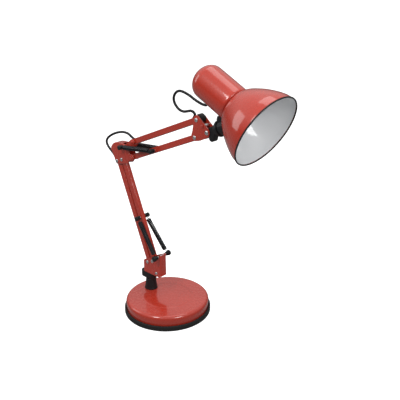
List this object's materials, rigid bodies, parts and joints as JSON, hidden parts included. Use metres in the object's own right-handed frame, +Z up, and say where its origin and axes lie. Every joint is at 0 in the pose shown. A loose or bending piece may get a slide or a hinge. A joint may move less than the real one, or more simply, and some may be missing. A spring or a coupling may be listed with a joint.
{
  "type": "desk lamp",
  "caption": "Spring balanced desk lamp with a heavy round base, turning socket, parallel channel arms, elbow bracket and a tilting bell shade with a domed neck",
  "frame": {"origin": "centre of the underside of the round base, on the floor plane", "axes": "+X forward from the post side of the base towards the shade, +Y across the lamp, +Z up"},
  "size_m": [0.4244, 0.17, 0.4939],
  "materials": {
    "red_paint": "glossy red enamel on pressed steel",
    "black_rubber": "smooth black rubber",
    "black_plastic": "satin black moulded plastic",
    "cast_iron": "rough casting",
    "steel": "zinc plated",
    "spring_steel": "dark oiled spring wire",
    "brass": "plain brass",
    "cord_jacket": "black flexible cord jacket"
  },
  "bodies": {
    "base": {"base_cover": "red_paint", "base_rim_ring": "black_rubber", "base_bottom_plate": "steel", "base_weight": "cast_iron", "stud_nut": "steel", "swivel_stud": "steel", "post_sleeve": "black_plastic"},
    "foot": {"swivel_socket": "black_plastic", "foot_bracket": "red_paint", "socket_rivet": "steel", "rear_bar_foot_rivet": "steel", "front_bar_foot_rivet": "steel", "foot_spring_pin": "steel", "foot_spool_near": "black_plastic", "foot_spool_far": "black_plastic", "lower_spring_near": "spring_steel", "lower_spring_far": "spring_steel"},
    "rear_bar": {"rear_bar": "red_paint", "cord_lower_run": "cord_jacket"},
    "front_bar": {"front_bar": "red_paint", "bar_spring_pin": "steel", "bar_spool_near": "black_plastic", "bar_spool_far": "black_plastic"},
    "elbow": {"elbow_bracket": "red_paint", "rear_bar_top_rivet": "steel", "front_bar_top_rivet": "steel", "lower_tube_elbow_rivet": "red_paint", "upper_tube_elbow_rivet": "red_paint", "elbow_spring_pin": "steel", "elbow_spool_near": "black_plastic", "elbow_spool_far": "black_plastic", "upper_spring_near": "spring_steel", "upper_spring_far": "spring_steel", "cord_elbow_loop": "cord_jacket"},
    "upper_tube": {"upper_tube": "red_paint", "cord_upper_run": "cord_jacket"},
    "lower_tube": {"lower_tube": "red_paint", "tube_spring_pin": "steel", "tube_spool_near": "black_plastic", "tube_spool_far": "black_plastic"},
    "head": {"head_cheek_near": "red_paint", "head_cheek_far": "red_paint", "lower_tube_head_rivet": "steel", "upper_tube_head_rivet": "steel", "head_spacer_rivet": "red_paint", "head_spacer": "steel", "cord_guide": "black_plastic", "cord_head_loop": "cord_jacket", "tilt_bolt": "steel"},
    "knuckle": {"tilt_knuckle": "black_plastic"},
    "tilt_knob": {"tilt_knob": "black_plastic"},
    "shade": {"shade_bell": "red_paint", "shade_rim_bead": "black_rubber", "shade_cap": "red_paint", "cord_gland": "black_plastic", "holder_body": "black_plastic", "holder_ring": "black_plastic", "holder_screw_shell": "brass", "holder_contact": "brass", "shade_saddle": "black_plastic"}
  },
  "joints": [
    {"name": "base_swivel", "type": "hinge", "parent": "base", "child": "foot", "pos_m": [-0.047, 0, 0.052], "axis": [0, 0, 1], "continuous": true},
    {"name": "lower_arm", "type": "hinge", "parent": "foot", "child": "rear_bar", "pos_m": [-0.0465, 0, 0.09], "axis": [0, 1, 0], "range_deg": [-20, 38], "deforming": ["lower_spring_near", "lower_spring_far", "cord_elbow_loop"]},
    {"name": "front_bar_turn", "type": "hinge", "parent": "foot", "child": "front_bar", "pos_m": [-0.03261, 0, 0.09567], "axis": [0, 1, 0], "range_deg": [-20, 38], "deforming": ["lower_spring_near", "lower_spring_far"]},
    {"name": "elbow_level", "type": "hinge", "parent": "rear_bar", "child": "elbow", "pos_m": [-0.1255, 0, 0.2834], "axis": [0, 1, 0], "range_deg": [-38, 20], "deforming": ["cord_elbow_loop"]},
    {"name": "upper_arm", "type": "hinge", "parent": "elbow", "child": "upper_tube", "pos_m": [-0.079, 0, 0.33], "axis": [0, 1, 0], "range_deg": [-30, 45], "deforming": ["upper_spring_near", "upper_spring_far", "cord_elbow_loop", "cord_head_loop"]},
    {"name": "lower_tube_turn", "type": "hinge", "parent": "elbow", "child": "lower_tube", "pos_m": [-0.083, 0, 0.299], "axis": [0, 1, 0], "range_deg": [-30, 45], "deforming": ["upper_spring_near", "upper_spring_far"]},
    {"name": "head_level", "type": "hinge", "parent": "upper_tube", "child": "head", "pos_m": [0.087, 0, 0.401], "axis": [0, 1, 0], "range_deg": [-45, 30], "deforming": ["cord_head_loop"]},
    {"name": "head_tilt", "type": "hinge", "parent": "head", "child": "knuckle", "pos_m": [0.111, 0, 0.3835], "axis": [0, 1, 0], "range_deg": [-35, 45], "deforming": ["cord_head_loop"]},
    {"name": "tilt_knob_turn", "type": "hinge", "parent": "head", "child": "tilt_knob", "pos_m": [0.111, 0.015, 0.3835], "axis": [0, 1, 0], "continuous": true},
    {"name": "shade_swivel", "type": "hinge", "parent": "knuckle", "child": "shade", "pos_m": [0.1358, 0, 0.39454], "axis": [0.9135, 0, 0.4067], "range_deg": [-45, 45], "deforming": ["cord_head_loop"]}
  ],
  "couplings": [
    {"joint": "front_bar_turn", "follows": "lower_arm", "ratio": 1},
    {"joint": "elbow_level", "follows": "lower_arm", "ratio": -1},
    {"joint": "lower_tube_turn", "follows": "upper_arm", "ratio": 1},
    {"joint": "head_level", "follows": "upper_arm", "ratio": -1}
  ]
}
